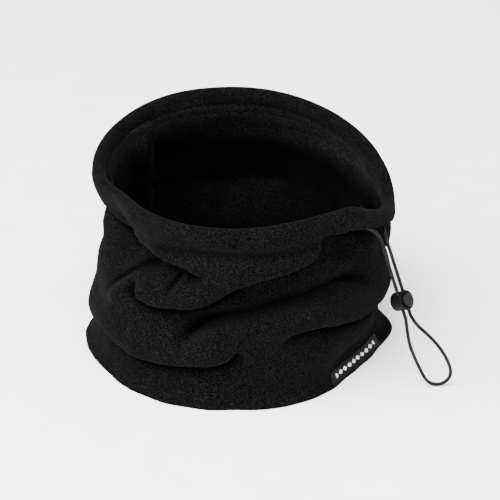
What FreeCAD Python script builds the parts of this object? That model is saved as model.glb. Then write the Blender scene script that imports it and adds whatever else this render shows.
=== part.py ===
"""Fleece neck gaiter: an oval fleece tube with a drawcord rim, an elastic cord and a spring cord lock.

Millimetres, +Z up. The origin is the middle of the hem's oval, on the surface that the gaiter stands on.
+X is the side where the cord leaves the rim, +Y is the back.
"""

import FreeCAD
import Part
import math
import os

os.makedirs("parts", exist_ok=True)

V = FreeCAD.Vector

# Cloth
FLEECE = 2.4                 # thickness of the fleece
TUNNEL_GAP = 3.2             # free width of the drawcord tunnel
FACING = 2.2                 # thickness of the tunnel's inner ply
TUNNEL_HEIGHT = 16.0         # from the rim down to the tunnel's lower edge
TUNNEL_HEM = 3.0             # height of the stitched strip that closes the tunnel
THREAD = 0.4                 # how far a row of thread stands out of the cloth
TUNNEL_ROW = (1.2, 2.0)      # the row that closes the tunnel, above the tunnel's lower edge
OVERCUT = 0.5                # how far a cutting solid runs past the face that it opens

# Oval of the body, outside: half-widths, the flared hem and the waist under the rim
HALF_X = 88.3
HALF_Y = 78.5
HEM_FLARE_X = 5.7
HEM_FLARE_Y = 4.0
HEM_FLARE_HEIGHT = 9.0
WAIST_DEPTH_X = 4.5
WAIST_DEPTH_Y = 2.5
WAIST_Z = 86.0
WAIST_SPREAD = 18.0
WAIST_SHIFT = 2.8            # the waist sits this much further to +X
LEAN = 0.03                  # drift of the oval to +X per mm of height
GROW_X = 0.017
GROW_Y = 0.015
SECTION_HEIGHTS = (0, 4, 9, 16, 26, 38, 50, 62, 70, 78, 86, 94, 102, 112, 124, 140)

# Rim: highest at the back, drooping at both sides and most at the cord
RIM_Z = 126.0
RIM_TILT = 0.0375            # rise per mm towards the back
RIM_DROOP_CORD_SIDE = 30.0
RIM_DROOP_FAR_SIDE = 15.0
RIM_REACH = 94.0             # half-width at which the droop is complete
RIM_STATIONS = range(-110, 111, 20)

# Side seam, at the back left
SEAM_DEG = (133.0, 140.5)
SEAM_ROW_DEG = (133.8, 137.0)
SEAM_PLIES = 4.6
SEAM_FOOT = 2.5              # the seam's plies stop this far above the floor
SEAM_HEAD_GAP = 0.3          # and this far below the tunnel

# Woven label, on the hem at the front right
LABEL_DEG = (-44.0, -8.0)
LABEL_Z = (1.2, 9.2)
LABEL_THICKNESS = 0.5
LABEL_STITCH_INSET_DEG = 0.9
LABEL_STITCH_INSET_Z = 1.0
LABEL_STITCH_WIDTH_DEG = 0.4
LABEL_STITCH_WIDTH_Z = 0.6

# Drawcord
CORD = 2.1
CORD_DROP = 9.0              # depth of the cord under the rim, in the tunnel
CORD_PATH = CORD + 1.3       # diameter of the clear way through the cloth
BUTTONHOLE = CORD_PATH + 3.0
TACK_HALF_DEG = 1.6          # bar tack that joins the cord's ends in the tunnel
TACK_HALF_HEIGHT = 3.0
TACK_GAP = 0.3
TUNNEL_CORD_DEG = (-372, -46)  # from the rear exit, round the back, to the front exit
TUNNEL_CORD_STEPS = 22

# Cord lock: barrel axis, direction of the two strands and the lock's centre
LOCK_CENTRE = V(97.2, -56.0, 58.3)
LOCK_AXIS = V(0.687, -0.536, 0.491)
STRAND_DOWN = V(0.306, -0.400, -0.864)
STRAND_OFFSET = 2.5          # each strand from the lock's middle plane
BARREL_R = 5.6
BARREL_LENGTH = 9.0
RING_R = 5.95
RING_LENGTH = 1.5
BARREL_FLOOR = 0.9
BARREL_EDGE = 1.2            # rounding of the closed end
RING_EDGE = 0.35
SPRING_ROOM_R = 4.43
MOUTH_R = 4.03
MOUTH_LENGTH = 1.1
MOUTH_BEVEL = 0.75
CORD_HOLE_R = 1.55
CORD_HOLE_Z = 5.7
WINDOW_R = 0.8               # drain hole in the barrel's wall
WINDOW_Z = 2.6
WINDOW_TOWARDS = V(-0.64, -0.77, 0)
PLUNGER_R = 3.95
PLUNGER_EDGE = 0.5
PLUNGER_FOOT_R = 4.35
PLUNGER_FOOT_Z = 3.7
PLUNGER_FOOT = 0.9
PLUNGER_TRAVEL = 1.8
PLUNGER_WEB = 2.3
PLUNGER_PLAY = 0.1           # between the pressed cap and the cord
SPRING_FOOT_R = 3.8          # conical, so that it can nest flat
SPRING_TOP_R = 2.1
SPRING_WIRE = 0.5
SPRING_COILS = 3
SPRING_POINTS = 10           # points of its line per coil
SPRING_PLAY = 0.05

TOP = 200.0                  # higher and wider than the whole gaiter


def oval_size(z):
    """Half-width in X, half-width in Y and X of the centre of the body's outer oval at a height."""
    flare = math.exp(-z / HEM_FLARE_HEIGHT)
    waist = math.exp(-(((z - WAIST_Z) / WAIST_SPREAD) ** 2))
    half_x = HALF_X + HEM_FLARE_X * flare - WAIST_DEPTH_X * waist + GROW_X * z
    half_y = HALF_Y + HEM_FLARE_Y * flare - WAIST_DEPTH_Y * waist + GROW_Y * z
    return half_x, half_y, LEAN * z + WAIST_SHIFT * waist


def body_solid(inset):
    """The body's outer shape filled, drawn in by an inset."""
    rings = []
    for z in SECTION_HEIGHTS:
        half_x, half_y, shift = oval_size(z)
        oval = Part.Ellipse(V(shift, 0, z), half_x - inset, half_y - inset)
        rings.append(Part.Wire(oval.toShape()))
    return Part.makeLoft(rings, True, True)


def skin(inner, outer):
    """The layer between two insets of the body; the outer one is the smaller number."""
    return body_solid(outer).cut(body_solid(inner))


def rim_height(x, y):
    droop = RIM_DROOP_CORD_SIDE if x > 0 else RIM_DROOP_FAR_SIDE
    return RIM_Z + RIM_TILT * y - droop * (abs(x) / RIM_REACH) ** 4


def above_rim(drop):
    """Everything above the rim's curved surface, lowered by a drop."""
    line = [V(x, -TOP, rim_height(x, -TOP) - drop) for x in RIM_STATIONS]
    curve = Part.BSplineCurve()
    curve.interpolate(line)
    corners = [line[-1], V(line[-1].x, -TOP, TOP), V(line[0].x, -TOP, TOP), line[0]]
    sides = [Part.LineSegment(a, b).toShape() for a, b in zip(corners, corners[1:])]
    face = Part.Face(Part.Wire([curve.toShape()] + sides))
    return face.extrude(V(0, 2 * TOP, 2 * TOP * RIM_TILT))


def sector(degrees, heights):
    """A wedge of a disc about the Z axis, between two angles and two heights."""
    height = heights[1] - heights[0]
    wedge = Part.makeCylinder(TOP, height, V(0, 0, heights[0]), V(0, 0, 1), degrees[1] - degrees[0])
    wedge.rotate(V(0, 0, 0), V(0, 0, 1), degrees[0])
    return wedge


def tunnel_point(degrees):
    """A point on the cord's line inside the tunnel."""
    inset = FLEECE + TUNNEL_GAP / 2
    z = RIM_Z - CORD_DROP
    for _ in range(10):
        half_x, half_y, shift = oval_size(z)
        x = shift + (half_x - inset) * math.cos(math.radians(degrees))
        y = (half_y - inset) * math.sin(math.radians(degrees))
        z = rim_height(x, y) - CORD_DROP
    return V(x, y, z)


def route(points, name):
    """A wire of straight runs joined by tangent arcs, each arc as large as its runs allow."""
    edges = []
    last = points[0]
    radii = []
    for before, corner, after in zip(points, points[1:], points[2:]):
        back = (before - corner).normalize()
        ahead = (after - corner).normalize()
        setback = 0.45 * min((before - corner).Length, (after - corner).Length)
        half_turn = (math.pi - back.getAngle(ahead)) / 2
        radius = setback / math.tan(half_turn)
        to_centre = math.hypot(radius, setback)
        start = corner + back * setback
        end = corner + ahead * setback
        middle = corner + (back + ahead).normalize() * (to_centre - radius)
        edges.append(Part.LineSegment(last, start).toShape())
        edges.append(Part.Arc(start, middle, end).toShape())
        radii.append(radius)
        last = end
    edges.append(Part.LineSegment(last, points[-1]).toShape())
    wire = Part.Wire(edges)
    print(name, "length %.1f" % wire.Length, "radii", " ".join("%.1f" % r for r in radii))
    return wire


def tube(wire, diameter):
    """A round tube along a wire, with its volume checked against section times length."""
    start = wire.Edges[0].valueAt(wire.Edges[0].FirstParameter)
    along = wire.Edges[0].tangentAt(wire.Edges[0].FirstParameter)
    section = Part.Wire(Part.Circle(start, along, diameter / 2).toShape())
    solid = wire.makePipeShell([section], True, False)
    expected = math.pi * (diameter / 2) ** 2 * wire.Length
    print("  tube", diameter, "volume / expected = %.4f" % (solid.Volume / expected), solid.isValid())
    return solid


def export(name, shape):
    shape.exportStep("parts/%s.step" % name)


# ---- the free cord's line: out of the front exit, through the lock, round the loop and back ----

axis = V(LOCK_AXIS).normalize()
side = axis.cross(STRAND_DOWN).normalize()
down = side.cross(axis).normalize()


def strand(sign, along):
    """A point on one of the two parallel strands, along millimetres below the lock's centre."""
    return LOCK_CENTRE + side * (sign * STRAND_OFFSET) + down * along


FREE_CORD = [
    tunnel_point(TUNNEL_CORD_DEG[1]),
    V(72.9, -49.0, 102.2),
    V(80.2, -47.4, 95.9),
    strand(-1, -29.0),
    strand(-1, 11.0),
    V(99.6, -62.4, 40.6),
    V(101.6, -62.0, 31.8),
    V(104.8, -61.0, 22.8),
    V(108.4, -59.8, 14.0),
    V(112.0, -58.4, 5.6),
    V(116.3, -57.5, 1.15),
    V(122.6, -57.2, 1.15),
    V(127.0, -57.4, 5.6),
    V(127.2, -58.2, 12.2),
    V(124.2, -59.3, 20.6),
    V(119.2, -60.0, 29.4),
    V(112.6, -60.0, 37.6),
    V(106.0, -59.2, 44.4),
    strand(1, 10.0),
    strand(1, -29.0),
    V(85.6, -29.4, 92.4),
    tunnel_point(TUNNEL_CORD_DEG[0]),
]

free_wire = route(FREE_CORD, "drawcord_loop")
way_out = tube(free_wire, CORD_PATH)

# ---- cloth ----

over_rim = above_rim(0)
fleece_tube = skin(FLEECE, 0).cut(over_rim).cut(way_out)

tunnel_band = above_rim(TUNNEL_HEIGHT).cut(over_rim)
tunnel_room = above_rim(TUNNEL_HEIGHT - TUNNEL_HEM).cut(above_rim(FLEECE))
facing_inset = FLEECE + TUNNEL_GAP
tunnel_facing = skin(facing_inset + FACING, FLEECE).common(tunnel_band)
tunnel_facing = tunnel_facing.cut(skin(facing_inset, FLEECE - OVERCUT).common(tunnel_room))

stitch_band = above_rim(TUNNEL_HEIGHT - TUNNEL_ROW[0]).cut(above_rim(TUNNEL_HEIGHT - TUNNEL_ROW[1]))
outer_row = skin(0, -THREAD).common(stitch_band).cut(way_out)
inner_row = skin(facing_inset + FACING + THREAD, facing_inset + FACING).common(stitch_band)
tunnel_stitching = Part.makeCompound([outer_row, inner_row])

below_tunnel = above_rim(TUNNEL_HEIGHT + SEAM_HEAD_GAP)
seam_plies = skin(FLEECE + SEAM_PLIES, FLEECE).common(sector(SEAM_DEG, (SEAM_FOOT, TOP)))
seam_plies = seam_plies.cut(below_tunnel)
seam_inset = FLEECE + SEAM_PLIES
seam_thread = skin(seam_inset + THREAD, seam_inset).common(sector(SEAM_ROW_DEG, (SEAM_FOOT, TOP)))
seam_thread = seam_thread.cut(below_tunnel)

# ---- cord ----

step = (TUNNEL_CORD_DEG[1] - TUNNEL_CORD_DEG[0]) / TUNNEL_CORD_STEPS
tunnel_route = [tunnel_point(TUNNEL_CORD_DEG[0] + step * i) for i in range(TUNNEL_CORD_STEPS + 1)]
drawcord_in_tunnel = tube(route(tunnel_route, "drawcord_in_tunnel"), CORD)
drawcord_loop = tube(free_wire, CORD)

tack_deg = sum(SEAM_DEG) / 2
tack_z = tunnel_point(tack_deg).z
tack_band = sector(
    (tack_deg - TACK_HALF_DEG, tack_deg + TACK_HALF_DEG),
    (tack_z - TACK_HALF_HEIGHT, tack_z + TACK_HALF_HEIGHT),
)
cord_end_tack = skin(facing_inset - TACK_GAP, FLEECE + TACK_GAP).common(tack_band)
cord_end_tack = cord_end_tack.cut(drawcord_in_tunnel)

buttonhole_ring = tube(free_wire, BUTTONHOLE).cut(way_out)
buttonholes = skin(0, -THREAD * 2).cut(over_rim).common(buttonhole_ring).cut(outer_row)
buttonhole_front, buttonhole_rear = sorted(buttonholes.Solids, key=lambda s: s.CenterOfMass.y)[:2]

# ---- label ----

woven_label = skin(0, -LABEL_THICKNESS).common(sector(LABEL_DEG, LABEL_Z))


def label_frame(inset):
    degrees = (
        LABEL_DEG[0] + LABEL_STITCH_INSET_DEG + inset * LABEL_STITCH_WIDTH_DEG,
        LABEL_DEG[1] - LABEL_STITCH_INSET_DEG - inset * LABEL_STITCH_WIDTH_DEG,
    )
    heights = (
        LABEL_Z[0] + LABEL_STITCH_INSET_Z + inset * LABEL_STITCH_WIDTH_Z,
        LABEL_Z[1] - LABEL_STITCH_INSET_Z - inset * LABEL_STITCH_WIDTH_Z,
    )
    return sector(degrees, heights)


label_stitching = skin(-LABEL_THICKNESS, -LABEL_THICKNESS - THREAD)
label_stitching = label_stitching.common(label_frame(0)).cut(label_frame(1))

# ---- cord lock, built with its axis on Z and its strands on X, then put in place ----

lock_place = FreeCAD.Placement()
lock_place.Rotation = FreeCAD.Rotation(down, side, axis, "ZXY")
lock_place.Base = LOCK_CENTRE - axis * CORD_HOLE_Z


def in_place(shape):
    placed = shape.copy()
    placed.Placement = lock_place.multiply(shape.Placement)
    return placed


def disc(radius, z, height):
    return Part.makeCylinder(radius, height, V(0, 0, z))


def make_barrel():
    barrel = disc(BARREL_R, 0, BARREL_LENGTH)
    floor_edge = [e for e in barrel.Edges if e.BoundBox.ZMax < 0.01]
    barrel = barrel.makeFillet(BARREL_EDGE, floor_edge)
    ring = disc(RING_R, BARREL_LENGTH - RING_LENGTH, RING_LENGTH)
    ring = ring.makeFillet(RING_EDGE, [e for e in ring.Edges if e.Curve.TypeId == "Part::GeomCircle"])
    barrel = barrel.fuse(ring)
    mouth_z = BARREL_LENGTH - MOUTH_LENGTH
    barrel = barrel.cut(disc(SPRING_ROOM_R, BARREL_FLOOR, mouth_z - BARREL_FLOOR))
    barrel = barrel.cut(disc(MOUTH_R, mouth_z, MOUTH_LENGTH))
    bevel = Part.makeCone(MOUTH_R, MOUTH_R + MOUTH_BEVEL, MOUTH_BEVEL, V(0, 0, BARREL_LENGTH - MOUTH_BEVEL))
    barrel = barrel.cut(bevel)
    for sign in (-1, 1):
        outside = V(-2 * BARREL_R, sign * STRAND_OFFSET, CORD_HOLE_Z)
        barrel = barrel.cut(Part.makeCylinder(CORD_HOLE_R, 4 * BARREL_R, outside, V(1, 0, 0)))
    window = Part.makeCylinder(WINDOW_R, 2 * BARREL_R, V(0, 0, WINDOW_Z), WINDOW_TOWARDS)
    return barrel.cut(window).removeSplitter()


def make_plunger():
    cap_z = CORD_HOLE_Z + CORD / 2 + PLUNGER_TRAVEL + PLUNGER_PLAY
    slot_z = PLUNGER_FOOT_Z + PLUNGER_FOOT
    head_z = BARREL_LENGTH + PLUNGER_TRAVEL
    foot = disc(PLUNGER_FOOT_R, PLUNGER_FOOT_Z, PLUNGER_FOOT)
    cap = disc(PLUNGER_R, cap_z, head_z - cap_z)
    cap = cap.makeFillet(PLUNGER_EDGE, [e for e in cap.Edges if e.BoundBox.ZMin > head_z - 0.01])
    web = Part.makeBox(2 * PLUNGER_R, PLUNGER_WEB, cap_z - slot_z, V(-PLUNGER_R, -PLUNGER_WEB / 2, slot_z))
    web = web.common(disc(PLUNGER_R, slot_z, cap_z - slot_z))
    return foot.fuse(web).fuse(cap).removeSplitter()


def make_spring():
    low = BARREL_FLOOR + SPRING_WIRE / 2 + SPRING_PLAY
    high = PLUNGER_FOOT_Z - SPRING_WIRE / 2 - SPRING_PLAY
    steps = SPRING_COILS * SPRING_POINTS
    line = []
    for i in range(steps + 1):
        done = i / steps
        radius = SPRING_FOOT_R + (SPRING_TOP_R - SPRING_FOOT_R) * done
        turn = 2 * math.pi * SPRING_COILS * done
        line.append(V(radius * math.cos(turn), radius * math.sin(turn), low + (high - low) * done))
    return tube(route(line, "lock_spring"), SPRING_WIRE)


export("fleece_tube", fleece_tube)
export("tunnel_facing", tunnel_facing)
export("tunnel_stitching", tunnel_stitching)
export("side_seam_allowance", seam_plies)
export("side_seam_stitching", seam_thread)
export("cord_buttonhole_front", buttonhole_front)
export("cord_buttonhole_rear", buttonhole_rear)
export("drawcord_in_tunnel", drawcord_in_tunnel)
export("drawcord_loop", drawcord_loop)
export("cord_end_tack", cord_end_tack)
export("lock_barrel", in_place(make_barrel()))
export("lock_plunger", in_place(make_plunger()))
export("lock_spring", in_place(make_spring()))
export("woven_label", woven_label)
export("label_stitching", label_stitching)
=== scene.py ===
"""Fleece neck gaiter: folded fleece tube, drawcord tunnel, elastic cord, cord lock and woven label.

Metres, in the part's own frame: +Z up, the hem on Z = 0, the cord on the +X side and the back at +Y.
Angles go round +Z in degrees from +X, so -90 is the front. The cloth is shaped in millimetres.
"""

import math

import bmesh
import bpy
import numpy as np
from bpy.props import FloatProperty, IntProperty, PointerProperty, StringProperty
from mathutils import Matrix, Vector, noise


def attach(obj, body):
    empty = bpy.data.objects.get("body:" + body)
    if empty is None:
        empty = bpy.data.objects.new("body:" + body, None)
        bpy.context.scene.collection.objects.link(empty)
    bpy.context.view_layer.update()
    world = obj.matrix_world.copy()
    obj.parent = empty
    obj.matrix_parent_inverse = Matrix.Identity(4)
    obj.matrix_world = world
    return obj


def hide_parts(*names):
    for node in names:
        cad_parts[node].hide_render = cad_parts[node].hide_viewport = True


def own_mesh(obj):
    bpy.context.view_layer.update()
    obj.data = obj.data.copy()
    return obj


bl_info = {
    "name": "Fleece neck gaiter",
    "version": (1, 0, 0),
    "blender": (4, 5, 0),
    "location": "View3D > Sidebar > Gaiter",
    "description": "Builds a fleece neck gaiter with its drawcord, cord lock and label",
    "category": "Add Mesh",
}

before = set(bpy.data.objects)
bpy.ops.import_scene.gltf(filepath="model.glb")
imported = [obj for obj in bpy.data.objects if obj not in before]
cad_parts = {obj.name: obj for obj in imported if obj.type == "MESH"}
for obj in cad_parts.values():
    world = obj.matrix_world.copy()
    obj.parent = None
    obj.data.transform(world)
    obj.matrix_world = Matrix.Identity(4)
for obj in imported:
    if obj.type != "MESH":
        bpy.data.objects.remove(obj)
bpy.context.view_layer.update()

MM = 0.001
CLOTH_BODY = "gaiter"

# ---- the cloth's shape: millimetres and degrees ----

HALF_X = 88.3
HALF_Y = 78.5
WAIST_Z = 86.0
WAIST_SPREAD = 18.0
WAIST_IN = (4.5, 2.5)        # how far the waist draws in each half axis
WAIST_SHIFT = 2.8            # and how far it moves towards the cord
WIDEN = (0.017, 0.015)       # growth of each half axis with height
LEAN = 0.03                  # lean towards the cord with height
FLARE_HEIGHT = 4.5
UNROLL_RADIUS = 84.0         # turns an angle into a distance along the cloth

# Height of the rim's crest round the tube
RIM_CREST = [
    (0, 99), (12, 105), (28, 113), (44, 120.5), (60, 126.5), (81, 131.5), (100, 133), (122, 132.5),
    (145, 127.5), (163, 120), (178, 113), (195, 112), (210, 114), (228, 116.5), (250, 117.5),
    (272, 118.5), (292, 120.5), (306, 121), (316, 119.5), (324, 113.5), (335, 106.5), (348, 100.5),
]

# How far the whole rim stands out of the body's oval
RIM_SHIFT = [
    (0, 1.8), (20, 1), (60, 0), (100, 0), (140, 0), (170, 0), (180, -3.0), (190, -8.0), (200, -11.0),
    (212, -10.5), (225, -6.5), (240, -2.5), (260, 0), (300, 0), (330, 0), (350, 1.5),
]
SHIFT_START = 66.0           # the height where that shift begins to come in, and its reach
SHIFT_REACH = 34.0

# How far the hem's edge stands out of the body's oval
HEM_FLARE = [
    (7, 9.3), (30, 5.5), (70, 4.5), (110, 4.5), (150, 4), (188, 5.6), (196, 4), (207, 3), (217, 4.8),
    (230, 5.8), (244, 6.6), (257, 5.4), (270, 4.6), (282, 6.4), (294, 5.6), (307, 4.4), (320, 3.6),
    (332, 2.9), (341, 2.7), (349, 2.9), (358, 7),
]

# Broad hollows and swellings of the body: angle, height, half-width in degrees, half-height, out
HOLLOWS = [
    (330, 9, 26, 13, -9.5),
    (313, 97, 9, 8, -6.0),
    (205, 74, 16, 12, -4.5),
    (186, 62, 24, 22, -2.5),
    (354, 28, 12, 9, -2.5),
    (90, 76, 60, 14, 3.5),
    (227, 80, 17, 8, -6.5),
    (205, 77, 9, 12, -6.0),
    (222, 84, 12, 6, -3.0),
    (199, 86, 10, 13, -4.5),
    (272, 73, 13, 7, -4.5),
    (313, 88, 12, 9, -4.5),
    (95, 38, 45, 18, -7.0),
    (352, 54, 16, 13, 3.5),
    (352, 41, 14, 6, -3.0),
    (196, 82, 16, 8, -3.5),
    (190, 47, 16, 10, -2.0),
    (256, 53, 9, 6, -3.0),
    (80, 48, 60, 12, -3.0),
]

# The rolled rim's section, from the stitched groove outside over the crest to the facing's edge
# inside: outwards from the body's oval, and up from the crest
RIM_SECTION = [
    (-1.3, -16.5), (-0.3, -14.0), (1.0, -11.0), (1.6, -7.4), (1.3, -3.6), (0.0, -1.0), (-2.0, 0.0),
    (-4.2, -0.8), (-5.6, -2.8), (-6.1, -5.6), (-5.5, -8.4), (-4.9, -9.8), (-5.1, -12.0),
    (-4.5, -14.4), (-3.8, -16.6),
]
GROOVE_DROP = 16.5           # from the crest down to the stitched groove
RIM_STEP = 0.5               # spacing of the points along that section
RIM_BLEND = 0.1              # the top share of the body that eases out to the rim's section

# Folds. Each path is (angle, height) and runs to the right as seen from outside, so the cloth that
# hangs over it is on its left, or on its right where side is -1. deep is the tuck, lip the roll above
# it, sag how far the roll hangs down, up and down the reach of each, and fade the length over which
# each end dies away
FOLDS = {
    "under_rim_left": dict(
        path=[(158, 96), (178, 91), (194, 86), (206, 85), (219, 88), (230, 89.5), (240, 87.5),
              (248, 85.5), (254, 81.5)],
        deep=8.0, lip=2.6, sag=3.0, up=9.0, down=12.0, fade=(30, 8),
    ),
    "left_ridge": dict(
        path=[(232, 77), (226, 76), (219.4, 72), (214, 65), (206, 53)],
        deep=3.5, lip=3.0, sag=0.0, up=9.0, down=12.0, fade=(8, 12),
    ),
    "small_ridge": dict(
        path=[(245, 83), (243, 78), (240, 69)],
        deep=2.5, lip=1.6, sag=0.0, up=6.0, down=10.0, fade=(5, 6),
    ),
    "long_front": dict(
        path=[(221, 71), (224, 66), (231, 61.2), (240, 61), (250, 62.8), (257, 66.3), (263, 72),
              (269, 79.5), (276, 84), (283.5, 86.7), (291.5, 89.5), (298, 93), (301.6, 98),
              (303, 106)],
        deep=9.5, lip=4.6, sag=4.5, up=11.0, down=11.0, fade=(10, 5),
    ),
    "low_front_right": dict(
        path=[(246, 36), (252, 44.5), (259, 51), (268, 55.6), (276, 58.3), (285, 61.4), (295, 64.5),
              (306, 66.6), (316, 66.6), (324, 64), (334, 61)],
        deep=11.0, lip=3.6, sag=3.0, up=10.0, down=15.0, fade=(18, 30), side=-1,
    ),
    "low_front_left": dict(
        path=[(172, 31), (186, 27), (198, 26.5), (208, 28.5), (217.7, 25.3), (227, 22.2),
              (237, 22.4), (248, 24), (256, 26.2), (263.5, 29.5), (269, 34.5), (272, 39)],
        deep=7.5, lip=4.8, sag=4.0, up=12.0, down=8.0, fade=(26, 9),
    ),
    "low_right": dict(
        path=[(285, 36), (287.5, 41.5), (292, 45), (299, 45.3), (307, 43), (317, 40.5), (329, 39),
              (343, 37), (360, 34), (376, 34)],
        deep=4.6, lip=3.0, sag=1.4, up=12.0, down=12.0, fade=(22, 30),
    ),
    "cord_side_rim": dict(
        path=[(300, 107), (311, 103), (320, 99), (331, 95), (344, 89), (358, 84), (372, 86)],
        deep=8.0, lip=1.2, sag=1.0, up=8.0, down=11.0, fade=(9, 30),
    ),
    "right_middle": dict(
        path=[(342, 71), (352, 68), (364, 66), (378, 67), (392, 70)],
        deep=5.0, lip=3.6, sag=2.6, up=11.0, down=10.0, fade=(16, 24),
    ),
    "back_high": dict(
        path=[(24, 88), (40, 93), (60, 97), (82, 98), (104, 95), (124, 90), (140, 90)],
        deep=1.6, lip=3.0, sag=0.6, up=12.0, down=14.0, fade=(28, 24),
    ),
    "back_middle": dict(
        path=[(58, 66), (76, 61), (96, 60), (116, 63), (136, 69), (154, 72), (170, 68), (184, 62)],
        deep=1.8, lip=3.6, sag=0.8, up=13.0, down=14.0, fade=(26, 24),
    ),
    "back_low": dict(
        path=[(14, 42), (32, 38), (52, 33), (74, 30), (96, 31), (116, 35), (134, 41)],
        deep=4.0, lip=3.6, sag=2.0, up=12.0, down=10.0, fade=(24, 24),
    ),
}
# A fold's section, as shares of its up above the path and its down below it
SLOT_REACH = (0.22, 0.36)    # the narrow slot of the tuck
VALLEY_REACH = (0.3, 1.4)    # and the broad valley that it lies in
TUCK_SHARES = (0.8, 0.5)     # how much of deep each of the two takes
ROLL_AT = 0.6                # the roll's crown, and its reach above and below that
ROLL_REACH = (1.1, 0.4)
HANG = 0.36                  # the part of the roll that sags, middle and reach
TUCK_LIFT = (0.25, -0.06, 0.25)  # the tuck's floor is drawn up: share of deep, middle, reach
SHADE_REACH = (0.16, 0.45)   # the painted crease shade's reach, from down and from sag
SHADE_AT = 0.85              # its middle below the path and its width, as shares of that reach
SHADE_WIDTH = 0.55
SHADE_LEAST = 1.0
PINCH = 0.45                 # how far the grid is drawn in to a path, and from how far away
PINCH_REACH = 9.0
PINCH_FOOT = 10.0            # the height over which the pinch comes in, above the hem
HANG_FOOT = 8.0              # and the sag
OUTER_EASE = 6.0             # rows over which the folds die away below the crest, outside
INNER_EASE = (6, 8.0)        # rows inside before they come back, and over which
STITCH_SHADE = 0.5           # how much painted shade the stitched grooves get, as creases do, and their rows
GROOVE_ROWS = (2.0, 1.2)
LINE_STEP = 2.0              # spacing of the points along a path
SOFT_WAVES = [(34.0, 1.8), (15.0, 0.9)]  # size and height of the cloth's unevenness
WAVE_STRETCH = 1.5           # they are wider than they are high


class GaiterSizes(bpy.types.PropertyGroup):
    columns: IntProperty(
        name="Cloth columns", description="Faces round the fleece tube", default=320, min=64
    )
    body_rows: IntProperty(
        name="Cloth rows", description="Rows of faces from the hem to the tunnel", default=84, min=24
    )
    rim_rows: IntProperty(
        name="Rim rows", description="Rows of faces over the rolled rim", default=36, min=12
    )
    fleece: FloatProperty(
        name="Fleece", description="Thickness of one ply", default=0.0024, unit="LENGTH"
    )
    nap: FloatProperty(
        name="Nap", description="Size of the fleece's pebbles", default=0.0010, unit="LENGTH"
    )
    cord: FloatProperty(
        name="Cord", description="Diameter of the elastic cord", default=0.0021, unit="LENGTH"
    )
    stitch: FloatProperty(
        name="Stitch", description="Length of one stitch of a row", default=0.0030, unit="LENGTH"
    )
    thread: FloatProperty(
        name="Thread", description="Diameter of the sewing thread", default=0.00045, unit="LENGTH"
    )
    fleece_tips: StringProperty(
        name="Fleece tips", description="sRGB hex value of the nap's palest tips", default="#141414"
    )
    cord_fleck: StringProperty(
        name="Cord fleck", description="sRGB hex value of the cord's tracer yarn", default="#202022"
    )
    label_motif: StringProperty(
        name="Label motif", description="sRGB hex value of the label's pale yarn", default="#f0f0f0"
    )


def sizes():
    return bpy.context.scene.gaiter_sizes


# ---- curves and the cloth's surface ----


def smooth_through(knots, values, at):
    """A smooth curve through values at knots, read at the places given; it holds past its ends."""
    knots = np.asarray(knots, float)
    values = np.asarray(values, float)
    slopes = np.gradient(values, knots, axis=0)
    i = np.clip(np.searchsorted(knots, at, side="right") - 1, 0, len(knots) - 2)
    span = knots[i + 1] - knots[i]
    t = np.clip((at - knots[i]) / span, 0.0, 1.0)
    if values.ndim == 2:
        span, t = span[:, None], t[:, None]
    start = (2 * t**3 - 3 * t**2 + 1) * values[i] + (t**3 - 2 * t**2 + t) * span * slopes[i]
    end = (3 * t**2 - 2 * t**3) * values[i + 1] + (t**3 - t**2) * span * slopes[i + 1]
    return start + end


def around(table, degrees):
    """A closed smooth curve through (angle, value) pairs, read at angles."""
    pairs = sorted((angle % 360, value) for angle, value in table)
    laps = [(angle + lap, value) for lap in (-360, 0, 360) for angle, value in pairs]
    return smooth_through([p[0] for p in laps], [p[1] for p in laps], np.mod(degrees, 360))


def smooth_line(points, step):
    """A dense smooth line through a few points, one about every step."""
    points = np.asarray(points, float)
    along = np.concatenate([[0], np.cumsum(np.linalg.norm(np.diff(points, axis=0), axis=1))])
    return smooth_through(along, points, np.linspace(0, along[-1], int(along[-1] / step) + 2))


def ease(x):
    x = np.clip(x, 0.0, 1.0)
    return x * x * (3 - 2 * x)


def hump(x, middle, width):
    return np.exp(-(((x - middle) / width) ** 2))


def two_sided(x, middle, above, below):
    """A hump with its own width on each side of its middle."""
    return np.where(x > middle, hump(x, middle, above), hump(x, middle, below))


def fold_line(fold):
    """A fold's path as a dense line on the unrolled cloth."""
    path = [(math.radians(degrees) * UNROLL_RADIUS, height) for degrees, height in fold["path"]]
    return smooth_line(path, LINE_STEP)


def body_oval(degrees, z):
    """Point on the body's outer oval and its outward direction, at an angle and a height."""
    waist = hump(z, WAIST_Z, WAIST_SPREAD)
    half_x = HALF_X - WAIST_IN[0] * waist + WIDEN[0] * z
    half_y = HALF_Y - WAIST_IN[1] * waist + WIDEN[1] * z
    flare = around(HEM_FLARE, degrees) * np.exp(-np.maximum(z, 0) / FLARE_HEIGHT)
    turn = np.radians(degrees)
    out = np.stack([np.cos(turn) / half_x, np.sin(turn) / half_y, np.zeros_like(turn)], axis=-1)
    out /= np.linalg.norm(out, axis=-1, keepdims=True)
    middle = LEAN * z + WAIST_SHIFT * waist
    point = np.stack([middle + half_x * np.cos(turn), half_y * np.sin(turn), z], -1)
    return point + out * flare[..., None], out


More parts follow.
